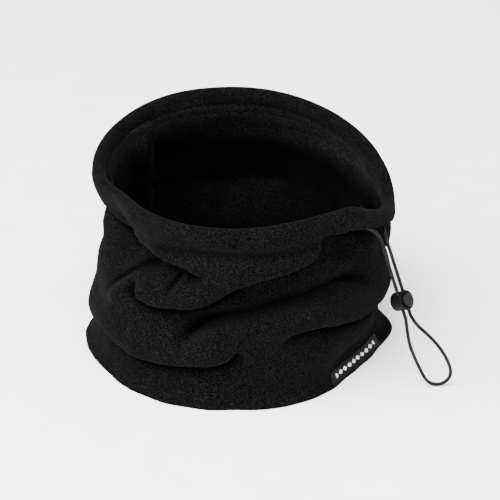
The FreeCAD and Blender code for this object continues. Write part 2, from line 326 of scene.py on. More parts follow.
def distance_to(line, u, z):
    """Distance from each cloth point to a line, left of it positive, and how far along it is."""
    shape = u.shape
    middle = line[:, 0].mean()
    lap = 2 * math.pi * UNROLL_RADIUS
    u = (u - middle + lap / 2) % lap + middle - lap / 2
    flat = np.stack([u.ravel(), z.ravel()], axis=1)
    best = np.full(len(flat), np.inf)
    signed = np.zeros(len(flat))
    along = np.zeros(len(flat))
    nearest = np.zeros_like(flat)
    walked = 0.0
    for a, b in zip(line, line[1:]):
        run = b - a
        length = math.hypot(*run)
        run = run / length
        off = flat - a
        t = np.clip(off @ run, 0, length)
        foot = a + t[:, None] * run
        gap = np.linalg.norm(flat - foot, axis=1)
        closer = gap < best
        side = np.sign(run[0] * off[:, 1] - run[1] * off[:, 0])
        best = np.where(closer, gap, best)
        signed = np.where(closer, gap * side, signed)
        along = np.where(closer, walked + t, along)
        nearest = np.where(closer[:, None], foot, nearest)
        walked += length
    pull = nearest - flat
    return (
        signed.reshape(shape), along.reshape(shape), walked,
        pull[:, 0].reshape(shape), pull[:, 1].reshape(shape),
    )


class Cloth:
    """The fleece's outer surface as a grid of points: rows from the hem over the rim, and columns."""

    def __init__(self):
        size = sizes()
        self.columns = size.columns
        self.groove_row = size.body_rows
        self.rows = size.body_rows + size.rim_rows + 1
        column_deg = np.arange(self.columns) * 360.0 / self.columns
        crest = around(RIM_CREST, column_deg)
        rim = smooth_line(RIM_SECTION, RIM_STEP)
        walked = np.concatenate([[0], np.cumsum(np.linalg.norm(np.diff(rim, axis=0), axis=1))])
        pick = np.linspace(0, walked[-1], size.rim_rows + 1)
        rim_out = np.interp(pick, walked, rim[:, 0])
        rim_up = np.interp(pick, walked, rim[:, 1])
        self.crest_row = self.groove_row + int(np.argmax(rim_up))
        self.rim_up = rim_up
        self.row_pitch = (crest.mean() - GROOVE_DROP) / size.body_rows
        body = np.linspace(0, 1, size.body_rows + 1)[:-1]
        z = np.concatenate([np.outer(body, crest - GROOVE_DROP), crest + rim_up[:, None]])
        into_rim = np.concatenate([ease((body - (1 - RIM_BLEND)) / RIM_BLEND) * rim_out[0], rim_out])
        degrees = np.repeat(column_deg[None, :], self.rows, axis=0)
        self.points = self.sculpt(degrees, z, into_rim[:, None] * np.ones_like(z))
        self.normals = self.find_normals()

    def sculpt(self, degrees, z, out):
        """Presses the rim's shift, the folds, the hollows and the unevenness into the tube, and maps the
        painted crease shade.
        """
        row = np.arange(self.rows)[:, None]
        shifted = np.where(row > self.crest_row, 1.0, ease((z - SHIFT_START) / SHIFT_REACH))
        out = out + around(RIM_SHIFT, degrees) * shifted
        past = row - self.crest_row
        inside = ease((past - INNER_EASE[0]) / INNER_EASE[1])
        outside = np.where(past > 0, inside, ease((-1 - past) / OUTER_EASE)) * np.ones_like(z)
        u = np.radians(degrees) * UNROLL_RADIUS
        for fold in FOLDS.values():
            far, _, _, pull_u, pull_z = distance_to(fold_line(fold), u, z)
            draw = PINCH * hump(far, 0, PINCH_REACH) * outside
            u = u + pull_u * draw
            z = z + pull_z * draw * ease(z / PINCH_FOOT)
        degrees = np.degrees(u / UNROLL_RADIUS)
        rise = np.zeros_like(z)
        inner_row = self.row_below_crest(INNER_STITCH_DROP, outside=False)
        # Painted shade along the stitched grooves, outside and inside
        outer_groove = hump(row, self.groove_row, GROOVE_ROWS[0])
        stitched = np.maximum(outer_groove, hump(row, inner_row, GROOVE_ROWS[1]))
        self.painted_crease_shade = STITCH_SHADE * stitched * np.ones_like(z)
        for fold in FOLDS.values():
            far, along, length, _, _ = distance_to(fold_line(fold), u, z)
            side = fold.get("side", 1)
            far = far * side
            start, end = fold["fade"]
            power = ease(along / start) * ease((length - along) / end) * outside
            up, down = fold["up"], fold["down"]
            slot = two_sided(far, 0, SLOT_REACH[0] * up, SLOT_REACH[1] * down)
            valley = two_sided(far, 0, VALLEY_REACH[0] * up, VALLEY_REACH[1] * down)
            out = out - fold["deep"] * power * (TUCK_SHARES[0] * slot + TUCK_SHARES[1] * valley)
            roll = two_sided(far, ROLL_AT * up, ROLL_REACH[0] * up, ROLL_REACH[1] * up)
            out = out + fold["lip"] * power * roll
            # Painted shade in the crease, just below the path
            reach = SHADE_REACH[0] * down + SHADE_REACH[1] * fold["sag"]
            shade = hump(far, -SHADE_AT * reach, SHADE_WIDTH * reach + SHADE_LEAST)
            self.painted_crease_shade = np.maximum(self.painted_crease_shade, power * shade)
            hang = hump(far, HANG * up, HANG * up)
            rise = rise - side * fold["sag"] * power * hang * ease(z / HANG_FOOT)
            share, middle, width = TUCK_LIFT
            lifted = hump(far, middle * down, width * down)
            rise = rise + share * side * fold["deep"] * power * lifted
        for angle, height, wide, high, depth in HOLLOWS:
            turn = (degrees - angle + 180) % 360 - 180
            out = out + depth * hump(turn, 0, wide) * hump(z, height, high) * outside
        for size, height in SOFT_WAVES:
            turn = np.radians(degrees)
            flat = [np.cos(turn) * UNROLL_RADIUS, np.sin(turn) * UNROLL_RADIUS]
            spots = np.stack([*flat, z * WAVE_STRETCH], -1)
            wave = [noise.noise(Vector(spot) / size) for spot in spots.reshape(-1, 3)]
            out = out + height * np.array(wave).reshape(z.shape) * outside
        point, outward = body_oval(degrees, z)
        point = point + outward * out[..., None]
        point[..., 2] += rise
        return point

    def find_normals(self):
        around_it = np.roll(self.points, -1, axis=1) - np.roll(self.points, 1, axis=1)
        up_it = np.gradient(self.points, axis=0)
        normal = np.cross(around_it, up_it)
        return normal / np.linalg.norm(normal, axis=-1, keepdims=True)

    def read(self, grid, row, degrees):
        """One of the grids at a row and an angle that may fall between the grid's own."""
        column = (degrees % 360.0) * self.columns / 360.0
        i, j = int(column), min(int(row), self.rows - 2)
        a, b = column - i, row - j
        left, right = i % self.columns, (i + 1) % self.columns
        low = grid[j, left] * (1 - a) + grid[j, right] * a
        high = grid[j + 1, left] * (1 - a) + grid[j + 1, right] * a
        return low * (1 - b) + high * b

    def on(self, row, degrees, lift=0.0):
        """A point on the cloth, in metres, lifted off it along its normal, and that normal."""
        normal = Vector(self.read(self.normals, row, degrees)).normalized()
        return Vector(self.read(self.points, row, degrees)) * MM + normal * lift, normal

    def row_below_crest(self, drop, outside):
        """The rim's row that is a drop in millimetres below the crest, outside or inside."""
        crest = self.crest_row - self.groove_row
        if outside:
            return self.groove_row + float(np.interp(-drop, self.rim_up[:crest], range(crest)))
        down = self.rim_up[crest:][::-1]
        return self.rows - 1 - float(np.interp(-drop, down, range(len(down))))

    def nearest(self, place):
        """Angle and row of the outside grid point nearest to a place in millimetres."""
        outer = self.points[: self.crest_row]
        gap = np.linalg.norm(outer - np.array(place), axis=-1)
        row, column = np.unravel_index(np.argmin(gap), gap.shape)
        return column * 360.0 / self.columns, float(row)

    def row_at(self, distance, degrees):
        """The row at a distance in millimetres along the cloth from the hem."""
        column = int(round((degrees % 360.0) * self.columns / 360.0)) % self.columns
        steps = np.linalg.norm(np.diff(self.points[:, column], axis=0), axis=1)
        return float(np.interp(distance, np.concatenate([[0], np.cumsum(steps)]), range(self.rows)))


SHARED = {}


def the_cloth():
    """The cloth is worked out once, and every piece that lies on it reads it."""
    if "cloth" not in SHARED:
        SHARED["cloth"] = Cloth()
    return SHARED["cloth"]


# ---- making pieces ----


def new_piece(name, bm, material, body=CLOTH_BODY):
    mesh = bpy.data.meshes.new(name)
    bm.to_mesh(mesh)
    bm.free()
    mesh.materials.append(material)
    piece = bpy.data.objects.new(name, mesh)
    bpy.context.scene.collection.objects.link(piece)
    mesh.polygons.foreach_set("use_smooth", [True] * len(mesh.polygons))
    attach(piece, body)
    return piece


def thread_piece(name, bm, stands_for):
    """A piece of sewing thread, in place of the node that it stands for."""
    piece = new_piece(name, bm, bpy.data.materials["Spun polyester thread"])
    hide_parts(stands_for)


def finish_modifiers(piece):
    """Turns a piece's modifiers into its mesh."""
    bpy.context.view_layer.update()
    done = bpy.data.meshes.new_from_object(piece.evaluated_get(bpy.context.evaluated_depsgraph_get()))
    piece.modifiers.clear()
    piece.data = done


def write_mark(mesh, name, values):
    """Adds an attribute with one number for each vertex."""
    mesh.attributes.new(name, "FLOAT", "POINT").data.foreach_set("value", values)


def keep_off_floor(piece):
    """Lifts what the wall's thickness has pushed under the floor."""
    for vert in piece.data.vertices:
        vert.co.z = max(vert.co.z, 0.0)


def mark_inner_side(piece):
    """Writes the painted shade of the wall's inner face and the painted light on its facing, from 0 to
    1.

    The painted crease shade is an outside mark, so it is taken off the inner face below the tunnel.
    """
    mesh = piece.data
    normals = np.array([n.vector for n in mesh.vertex_normals])
    places = np.array([v.co for v in mesh.vertices]) / MM
    angle = np.arctan2(places[:, 1] / HALF_Y, places[:, 0] / HALF_X)
    turn = np.degrees(angle)
    drop = around(RIM_CREST, turn) - places[:, 2]
    faces_out = normals[:, 0] * np.cos(angle) + normals[:, 1] * np.sin(angle)
    inward = ease(-INWARD_STEEPNESS * faces_out)
    shade = ease((drop - INNER_FADE_DROP) / INNER_FADE)
    lit = ease((LIT_TOP - places[:, 2]) / LIT_REACH) * hump(turn, LIT_ANGLE, LIT_SPREAD)
    # Painted shade on the inner face, less where light falls in on the back wall, and painted light on
    # the facing
    write_mark(mesh, "painted_inner_shade", inward * shade * (1 - LIT_SHARE * lit))
    write_mark(mesh, "painted_facing_light", inward * hump(drop, FACING_LIGHT_DROP, FACING_LIGHT_REACH))
    if "painted_crease_shade" in mesh.attributes:
        pressed = np.array([mark.value for mark in mesh.attributes["painted_crease_shade"].data])
        below = drop > GROOVE_DROP - CREASE_MARGIN
        pressed[below] *= 1.0 - inward[below]
        mesh.attributes["painted_crease_shade"].data.foreach_set("value", pressed)


def tube_grid(columns, rows):
    """A plain tube of quads; a vertex's column and row are read back from where it stands."""
    bm = bmesh.new()
    bmesh.ops.create_cone(bm, segments=columns, radius1=1, radius2=1, depth=rows - 1)
    upright = [e for e in bm.edges if abs(e.verts[0].co.z - e.verts[1].co.z) > 0.5]
    bmesh.ops.subdivide_edges(bm, edges=upright, cuts=rows - 2, use_grid_fill=True)
    places = []
    for vert in bm.verts:
        turn = math.atan2(vert.co.y, vert.co.x) / (2 * math.pi)
        places.append((round(turn * columns) % columns, round(vert.co.z + (rows - 1) / 2)))
    return bm, places


def sweep(bm, line, radius, sides, uv_layer=None):
    """A round tube along a line of points, closed at both ends, with its own unrolled UV in mm."""
    side = (line[1] - line[0]).orthogonal().normalized()
    rings = []
    walked = 0.0
    for i, point in enumerate(line):
        ahead = (line[min(i + 1, len(line) - 1)] - line[max(i - 1, 0)]).normalized()
        side = (side - ahead * side.dot(ahead)).normalized()
        up = ahead.cross(side)
        place = Matrix.Translation(point) @ Matrix((side, up, ahead)).transposed().to_4x4()
        ring = bmesh.ops.create_circle(bm, segments=sides, radius=radius, matrix=place)["verts"]
        if i:
            walked += (point - line[i - 1]).length
        rings.append((ring, walked))
    for (low, start), (high, end) in zip(rings, rings[1:]):
        for k in range(sides):
            other = (k + 1) % sides
            face = bm.faces.new((low[k], low[other], high[other], high[k]))
            if uv_layer:
                corners = ((k, start), (k + 1, start), (k + 1, end), (k, end))
                for loop, (step, at) in zip(face.loops, corners):
                    loop[uv_layer].uv = (step / sides, at / MM)
    bm.faces.new(list(reversed(rings[0][0])))
    bm.faces.new(rings[-1][0])


def nurbs_line(places):
    """The smooth line that a quadratic NURBS spline draws by its control points."""
    route = bpy.data.curves.new("route", "CURVE")
    route.dimensions = "3D"
    route.resolution_u = 24
    spline = route.splines.new("NURBS")
    spline.points.add(len(places) - 1)
    for point, place in zip(spline.points, places):
        point.co = (*place, 1.0)
    spline.order_u = 3
    spline.use_endpoint_u = True
    guide = bpy.data.objects.new("route", route)
    line = [vert.co.copy() for vert in bpy.data.meshes.new_from_object(guide).vertices]
    bpy.data.objects.remove(guide)
    return line


def add_stitch(bm, start, end, thickness):
    """One stitch: a short slim bead of thread."""
    along = end - start
    turn = along.to_track_quat("Z", "Y").to_matrix().to_4x4()
    scale = Matrix.Diagonal((thickness / 2, thickness / 2, along.length / 2, 1))
    place = Matrix.Translation((start + end) / 2) @ turn @ scale
    bmesh.ops.create_uvsphere(bm, u_segments=6, v_segments=4, radius=1.0, matrix=place)


# ---- materials ----


def colour(text):
    """Linear colour of an sRGB hex value."""
    parts = [int(text[i:i + 2], 16) / 255 for i in (1, 3, 5)]
    linear = [p / 12.92 if p <= 0.04045 else ((p + 0.055) / 1.055) ** 2.4 for p in parts]
    return (*linear, 1.0)


def node(tree, kind, links=None, stops=(), **settings):
    """Adds a node; links are {input: socket or value}, stops a ramp's colours, settings its own."""
    made = tree.nodes.new(kind)
    for key, value in settings.items():
        setattr(made, key, value)
    for key, value in (links or {}).items():
        if isinstance(value, bpy.types.NodeSocket):
            tree.links.new(value, made.inputs[key])
        else:
            made.inputs[key].default_value = value
    if stops:
        elements = made.color_ramp.elements
        for spare in stops[2:]:
            elements.new(0.5)
        for element, (at, tint) in zip(elements, stops):
            element.position = at
            element.color = colour(tint)
    return made


def new_material(name, coordinates="Object", **surface):
    """A material, its tree and shader, and the coordinates that its patterns read."""
    material = bpy.data.materials.new(name)
    material.use_nodes = True
    tree = material.node_tree
    shader = tree.nodes["Principled BSDF"]
    for key, value in surface.items():
        shader.inputs[key.replace("_", " ")].default_value = value
    return material, tree, shader, node(tree, "ShaderNodeTexCoord").outputs[coordinates]


def wire(tree, shader, tint, height, strength, relief):
    """Gives the shader a colour socket, and a relief in metres from a height socket."""
    bump = node(tree, "ShaderNodeBump", {"Height": height, "Strength": strength, "Distance": relief})
    tree.links.new(tint, shader.inputs["Base Color"])
    tree.links.new(bump.outputs["Normal"], shader.inputs["Normal"])


def fleece_material():
    """Brushed polyester microfleece: anti-pill loops curled to small pebbles, with painted light on the
    turned-in facing and painted shade on the inner face and in creases.
    """
    nap = sizes().nap
    material, tree, shader, place = new_material(
        "Brushed polyester microfleece", Roughness=1.0, Specular_IOR_Level=0.0, Sheen_Weight=0.02,
        Sheen_Roughness=0.5, Sheen_Tint=colour("#b8b8b8"),
    )
    # Curled loops, drawn 1 mm across so that they show, which the eye reads as pebbly grain
    curls = node(tree, "ShaderNodeTexNoise", {
        "Vector": place, "Scale": 1 / nap, "Detail": 2.0, "Roughness": 0.5}).outputs["Fac"]
    # Patches some 9 mm across where the nap lies one way, a little lighter or darker
    strokes = node(tree, "ShaderNodeTexNoise", {"Vector": place, "Scale": 1 / (9 * MM), "Detail": 2.0})
    grain = node(tree, "ShaderNodeValToRGB", {"Fac": curls}, stops=[
        (0.32, "#020202"), (0.48, "#070707"), (0.58, "#0b0b0b"), (0.72, sizes().fleece_tips)])
    patch = node(tree, "ShaderNodeValToRGB", {"Fac": strokes.outputs["Fac"]}, stops=[
        (0.35, "#ededed"), (0.65, "#ffffff")])
    # The Mix node has a socket of each name for every type, so its sockets are taken by number
    tint = node(tree, "ShaderNodeMix", {0: 1.0, 6: grain.outputs["Color"], 7: patch.outputs["Color"]},
                data_type="RGBA", blend_type="MULTIPLY").outputs[2]
    # Painted light: the turned-in facing catches the light, so its nap is drawn paler here
    painted_facing_light = node(tree, "ShaderNodeAttribute", attribute_name="painted_facing_light").outputs["Fac"]
    gain = node(tree, "ShaderNodeMath", {0: painted_facing_light, 1: 1.4, 2: 1.0}, operation="MULTIPLY_ADD")
    tint = node(tree, "ShaderNodeVectorMath", {0: tint, "Scale": gain.outputs[0]},
                operation="SCALE").outputs["Vector"]
    # Painted shade: below the facing the inner face, and down in a crease, are drawn near black where
    # little light reaches them
    for mark in ("painted_inner_shade", "painted_crease_shade"):
        share = node(tree, "ShaderNodeAttribute", attribute_name=mark).outputs["Fac"]
        tint = node(tree, "ShaderNodeMix", {0: share, 6: tint, 7: colour("#010101")},
                    data_type="RGBA").outputs[2]
    wire(tree, shader, tint, curls, 0.6, 0.5 * MM)
    return material


def thread_material():
    """Spun polyester sewing thread: two plies twisted, dark with a slight shine on each ply."""
    material, tree, shader, place = new_material(
        "Spun polyester thread", Roughness=0.8, Specular_IOR_Level=0.03,
    )
    # Twist of 0.5 mm
    plies = node(tree, "ShaderNodeTexNoise", {
        "Vector": place, "Scale": 1 / (0.5 * MM), "Detail": 1.0}).outputs["Fac"]
    tint = node(tree, "ShaderNodeValToRGB", {"Fac": plies}, stops=[
        (0.35, "#030303"), (0.65, "#070707")])
    wire(tree, shader, tint.outputs["Color"], plies, 0.5, 0.1 * MM)
    return material


def cord_material():
    """Braided polyester over rubber cores: black carriers with a grey tracer that shows as flecks."""
    material, tree, shader, place = new_material(
        "Braided elastic cord", coordinates="UV", Roughness=0.6, Specular_IOR_Level=0.12,
    )
    round_it = math.pi * sizes().cord / MM
    # Eight picks round the cord, each a lozenge turned 45 degrees, 0.6 mm across
    pick = round_it / (8 * math.sqrt(2))
    unrolled = node(tree, "ShaderNodeVectorMath", {0: place, 1: (round_it, 1.0, 1.0)},
                    operation="MULTIPLY").outputs["Vector"]
    turned = node(tree, "ShaderNodeMapping", {"Vector": unrolled, "Rotation": (0, 0, math.pi / 4)})
    check = node(tree, "ShaderNodeTexChecker", {
        "Vector": turned.outputs["Vector"], "Scale": 1 / pick, "Color1": colour("#060606"),
        "Color2": colour(sizes().cord_fleck)})
    # The tracer comes up irregularly, every 2 to 4 mm
    tracer = node(tree, "ShaderNodeTexNoise", {"Vector": unrolled, "Scale": 0.45, "Detail": 1.0})
    shown = node(tree, "ShaderNodeValToRGB", {"Fac": tracer.outputs["Fac"]}, stops=[
        (0.50, "#303030"), (0.66, "#ffffff")])
    tint = node(tree, "ShaderNodeMix", {0: 1.0, 6: check.outputs["Color"], 7: shown.outputs["Color"]},
                data_type="RGBA", blend_type="MULTIPLY")
    wire(tree, shader, tint.outputs[2], check.outputs["Fac"], 0.6, 0.15 * MM)
    return material


def moulded_material(name, tint, roughness, grain, shine):
    """Injection-moulded plastic: spark-eroded tool texture, with handling wear that dulls it."""
    material, tree, shader, place = new_material(name, Specular_IOR_Level=shine, IOR=1.48)
    # Tool texture, 0.25 mm
    sparks = node(tree, "ShaderNodeTexNoise", {"Vector": place, "Scale": 1 / (0.25 * MM), "Detail": 2.0})
    # Handling marks, 3 mm
    marks = node(tree, "ShaderNodeTexNoise", {"Vector": place, "Scale": 1 / (3 * MM), "Detail": 3.0})
    shade = node(tree, "ShaderNodeValToRGB", {"Fac": marks.outputs["Fac"]}, stops=[
        (0.3, tint[0]), (0.7, tint[1])])
    dull = node(tree, "ShaderNodeMapRange", {"Value": marks.outputs["Fac"], "To Min": roughness - 0.06,
                                             "To Max": roughness + 0.1})
    tree.links.new(dull.outputs["Result"], shader.inputs["Roughness"])
    wire(tree, shader, shade.outputs["Color"], sparks.outputs["Fac"], grain, 0.05 * MM)
    return material


def steel_material():
    """Hard-drawn stainless spring wire: bright, with drawing marks that vary its tone."""
    material, tree, shader, place = new_material("Drawn stainless wire", Metallic=1.0, Roughness=0.3)
    # Marks 0.2 mm across
    marks = node(tree, "ShaderNodeTexNoise", {"Vector": place, "Scale": 1 / (0.2 * MM), "Detail": 2.0})
    shade = node(tree, "ShaderNodeValToRGB", {"Fac": marks.outputs["Fac"]}, stops=[
        (0.3, "#8d8f92"), (0.7, "#b9bbbe")])
    tree.links.new(shade.outputs["Color"], shader.inputs["Base Color"])
    return material


def label_material():
    """Damask-woven polyester label: satin black ground with a pale woven motif of lozenges."""
    material, tree, shader, place = new_material(
        "Damask woven label", coordinates="UV", Roughness=0.5, Specular_IOR_Level=0.1,
    )
    # The label's own UV runs in millimetres, along and up it
    axes = node(tree, "ShaderNodeSeparateXYZ", {"Vector": place})
    along, height = axes.outputs["X"], axes.outputs["Y"]
    # Each lozenge: |x in its cell| / its half-length + |y from the middle| / its half-height < 1
    cell = node(tree, "ShaderNodeMath", {0: along, 1: LABEL_REPEAT / 2, 2: -LABEL_REPEAT / 2},
                operation="WRAP")
    middle = node(tree, "ShaderNodeMath", {0: height, 1: LABEL_HEIGHT / 2}, operation="SUBTRACT")
    reach = []
    for offset, half in zip((cell, middle), LOZENGE):
        size = node(tree, "ShaderNodeMath", {0: offset.outputs[0]}, operation="ABSOLUTE").outputs[0]
        reach.append(node(tree, "ShaderNodeMath", {0: size, 1: half}, operation="DIVIDE").outputs[0])
    total = node(tree, "ShaderNodeMath", {0: reach[0], 1: reach[1]}, operation="ADD").outputs[0]
    # The row of lozenges stops short of both ends
    motif = node(tree, "ShaderNodeMath", {0: total, 1: 1.0}, operation="LESS_THAN").outputs[0]
    for end, test in ((LABEL_MARGIN, "GREATER_THAN"), (LABEL_LENGTH - LABEL_MARGIN, "LESS_THAN")):
        kept = node(tree, "ShaderNodeMath", {0: along, 1: end}, operation=test).outputs[0]
        motif = node(tree, "ShaderNodeMath", {0: motif, 1: kept}, operation="MULTIPLY").outputs[0]
    # The wave texture has 20 / (2 pi) bands to a unit
    picks = node(tree, "ShaderNodeTexWave", {
        "Vector": place, "Scale": 2 * math.pi / (20 * WEFT_PICK), "Distortion": 0.4},
        bands_direction="Y").outputs["Fac"]
    ground = node(tree, "ShaderNodeValToRGB", {"Fac": picks}, stops=[
        (0.2, "#040404"), (0.8, "#090909")])
    pale = node(tree, "ShaderNodeValToRGB", {"Fac": picks}, stops=[
        (0.2, "#c4c4c4"), (0.8, sizes().label_motif)])
    tint = node(tree, "ShaderNodeMix", {0: motif, 6: ground.outputs["Color"], 7: pale.outputs["Color"]},
                data_type="RGBA")
    wire(tree, shader, tint.outputs[2], picks, 0.5, 0.1 * MM)
    return material


def studio_material():
    """Matt seamless paper."""
    material, tree, shader, place = new_material("Seamless paper", Roughness=0.9, Specular_IOR_Level=0.2)
    # Tone that drifts over some 25 mm
    fibres = node(tree, "ShaderNodeTexNoise", {"Vector": place, "Scale": 1 / (25 * MM), "Detail": 2.0})
    shade = node(tree, "ShaderNodeValToRGB", {"Fac": fibres.outputs["Fac"]}, stops=[
        (0.3, "#f4f4f4"), (0.7, "#fafafa")])
    tree.links.new(shade.outputs["Color"], shader.inputs["Base Color"])
    return material


# ---- operators ----


# Control points of the free cord: out of the front slit, straight through the lock, round the loop
# on the floor and back. Four points in a row on one line keep each strand straight in the lock.
CORD_ROUTE = [
    (68.0, -50.4, 106.9), (76.4, -45.6, 101.2), (83.0, -43.8, 95.2), (86.69, -46.27, 83.64),
    (88.22, -48.27, 79.32), (98.16, -61.26, 51.23), (98.92, -62.26, 49.07), (100.0, -63.0, 40.8),
    (101.7, -62.3, 31.8), (104.8, -61.0, 22.8),
    (108.4, -59.8, 14.0), (112.0, -58.4, 5.6), (116.3, -57.5, 1.15), (122.6, -57.2, 1.15),
    (127.0, -57.4, 5.6), (127.2, -58.2, 12.2), (124.2, -59.3, 20.6), (119.2, -60.0, 29.4),
    (112.6, -60.4, 37.4), (105.4, -59.8, 44.1), (101.91, -58.14, 49.38), (101.3, -57.34, 51.11),
    (91.51, -44.55, 78.76), (89.98, -42.55, 83.08),
    (85.6, -29.4, 92.4), (85.7, -15.4, 95.6),
]
CORD_EXIT = (78.8, -44.6, 99.2)
CORD_RETURN = (86.5, -32.0, 91.0)
BUTTONHOLE_INNER = (1.7, 1.5)  # half-width and half-height of the slit, in millimetres
BUTTONHOLE_OUTER = (3.2, 3.0)
BUTTONHOLE_LIFT = 0.2
BUTTONHOLE_STITCHES = 30
BUTTONHOLE_THREAD = 1.3      # buttonhole twist is coarser than the sewing thread
CORD_SIDES = 14

LOCK_CENTRE = (97.2, -56.0, 58.3)
LOCK_AXIS = (0.687, -0.536, 0.491)
CORD_HOLE_DEPTH = 5.7        # from the barrel's closed end to the middle of the strands
SPRING_ENDS = (1.2, 3.4)     # heights above that closed end
SPRING_RADII = (3.8, 2.1)    # conical, so that it nests flat
SPRING_WIRE = 0.5
SPRING_COILS = 3
SPRING_STEPS = 24            # points to a coil, and sides of the wire
SPRING_SIDES = 10

TUNNEL_CORD_TURN = (-362, -52, 10)  # degrees, from the rear slit round the back to the front one
TUNNEL_CORD_DROPS = (7.5, 6.0)  # it runs midway between the walls, this far below the crest on each
TUNNEL_CORD_SIDES = 8
TACK_WRAPS = 9
TACK_STEPS = 12
TACK_LENGTH = 6.0
TACK_SIDES = 5

STITCH_SHARE = 0.75          # the part of a stitch's pitch that its bead of thread covers
STITCH_SINK = 0.1

LABEL_DEGREES = (-49.0, -8.0)
LABEL_FOOT = 1.2
LABEL_HEIGHT = 8.0
LABEL_LENGTH = 55.0
LABEL_REPEAT = 5.0
LABEL_MARGIN = 4.5
LABEL_GRID = (70, 12)
LABEL_LIFT = 0.55            # height of its face above the fleece, and its thickness
LABEL_THICKNESS = 0.5
LABEL_STITCH_INSET = 0.9
LABEL_STITCH_PITCH = 1.6
LABEL_STITCH_SHARE = 0.7
LABEL_STITCH_LIFT = 0.6
LABEL_THREAD = 0.7           # finer than the sewing thread
LOZENGE = (2.1, 1.5)         # half-length and half-height of one of its motifs
WEFT_PICK = 0.11             # spacing of its weft

INNER_STITCH_DROP = 9.8      # below the crest, where the facing is sewn down

SEAM_DEGREES = (133.0, 148.0)
SEAM_GRID = (8, 60)
SEAM_FOOT = 5.0
SEAM_UNDER_FACING = 0.9      # the share of the seam's height below the facing's edge
SEAM_BEDDING = 0.4           # how far its back lies in the cloth that it is sewn to
SEAM_PLIES = 4.8             # thickness of both plies, and the share left at the sewn side
SEAM_THIN = 0.05
OVERLOCK_STITCHES = 110
OVERLOCK_DEPTH = 4.5
OVERLOCK_DEGREES = (0.2, 3.2)  # from the free edge outwards, and in over the plies

# Shading of the inner face
INWARD_STEEPNESS = 2.0       # a face counts in full once half of its normal points inwards
INNER_FADE_DROP = 21.0       # below the crest, where it begins to darken, and over what height
INNER_FADE = 17.0
LIT_TOP = 83.0               # light falls in on the back wall's low middle: from this height
LIT_REACH = 28.0             # down, over this height,
LIT_ANGLE = 86.0             # about this angle,
LIT_SPREAD = 38.0            # this wide in degrees,
LIT_SHARE = 0.6              # and takes this share of the darkening off
FACING_LIGHT_DROP = 15.0            # below the crest, the middle of the painted light on the facing
FACING_LIGHT_REACH = 7.0
CREASE_MARGIN = 3.0          # painted crease shade is kept inside down to this far above the groove

CAMERA_LENS = 150.97
CAMERA_SENSOR = 36.0
CAMERA_PLACE = (0.00806, -1.10552, 0.68602)
CAMERA_TILT = 60.5           # degrees up from straight down

PAPER_HALF = 3.0
PAPER_DROP = 0.0004
LIGHT_AIM = (0.0, 0.0, 0.06)
LIGHTS = (                   # name, watts, side of the softbox, place
    ("top_softbox", 145.0, 1.4, (-0.3, -0.8, 1.9)),
    ("front_softbox", 42.0, 1.4, (-0.2, -1.9, 1.0)),
    ("left_softbox", 70.0, 1.0, (-1.3, -0.4, 1.5)),
    ("right_softbox", 8.0, 1.0, (1.5, -0.2, 0.8)),
)


class GAITER_OT_camera(bpy.types.Operator):
    """Places the camera that looks down on the gaiter's front"""

    bl_idname = "gaiter.camera"
    bl_label = "Camera"

    def execute(self, context):
        lens = bpy.data.cameras.new("studio_camera")
        lens.lens = CAMERA_LENS
        lens.sensor_width = CAMERA_SENSOR
        camera = bpy.data.objects.new("studio_camera", lens)
        camera.location = CAMERA_PLACE
        camera.rotation_euler = (math.radians(CAMERA_TILT), 0, 0)
        context.scene.collection.objects.link(camera)
        context.scene.camera = camera
        return {"FINISHED"}


class GAITER_OT_drawcord(bpy.types.Operator):
    """Makes the elastic cord's free loop, through the lock and back, and the lock's spring"""

    bl_idname = "gaiter.drawcord"
    bl_label = "Drawcord loop"

    def execute(self, context):
        line = nurbs_line([Vector(place) * MM for place in CORD_ROUTE])
        bm = bmesh.new()
        sweep(bm, line, sizes().cord / 2, CORD_SIDES, bm.loops.layers.uv.new("Braid"))
        piece = new_piece("drawcord", bm, cord_material())
        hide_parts("drawcord_loop")
        lock_spring()
        return {"FINISHED"}


def lock_spring():
    """The conical coil under the cord lock's button, which nests flat as the button goes down."""
    axis = Vector(LOCK_AXIS).normalized()
    foot = Vector(LOCK_CENTRE) - axis * CORD_HOLE_DEPTH
    stand = axis.to_track_quat("Z", "Y")
    line = []
    for done in np.linspace(0, 1, SPRING_STEPS * SPRING_COILS + 1):
        turn = 2 * math.pi * SPRING_COILS * done
        radius = np.interp(done, (0, 1), SPRING_RADII)
        height = np.interp(done, (0, 1), SPRING_ENDS)
        round_it = Vector((radius * math.cos(turn), radius * math.sin(turn), height))
        line.append((foot + stand @ round_it) * MM)
    bm = bmesh.new()
    sweep(bm, line, SPRING_WIRE / 2 * MM, SPRING_SIDES)
    piece = new_piece("conical_spring", bm, steel_material(), body="lock")
    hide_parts("lock_spring")
    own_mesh(piece)
    return piece


class GAITER_OT_fleece(bpy.types.Operator):
    """Makes the fleece tube from its hem, up over the rolled rim and down to the facing's edge"""

    bl_idname = "gaiter.fleece"
    bl_label = "Fleece tube"

    def execute(self, context):
        cloth = the_cloth()
        bm, places = tube_grid(cloth.columns, cloth.rows)
        for vert, (column, row) in zip(bm.verts, places):
            vert.co = Vector(cloth.points[row, column]) * MM
        piece = new_piece("fleece_tube_and_facing", bm, fleece_material())
        write_mark(piece.data, "painted_crease_shade", [cloth.painted_crease_shade[row, column] for column, row in places])
        wall = piece.modifiers.new("wall", "SOLIDIFY")
        wall.thickness = sizes().fleece
        wall.offset = -1.0
        finish_modifiers(piece)
        keep_off_floor(piece)
        mark_inner_side(piece)
        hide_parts("fleece_tube", "tunnel_facing")
        return {"FINISHED"}


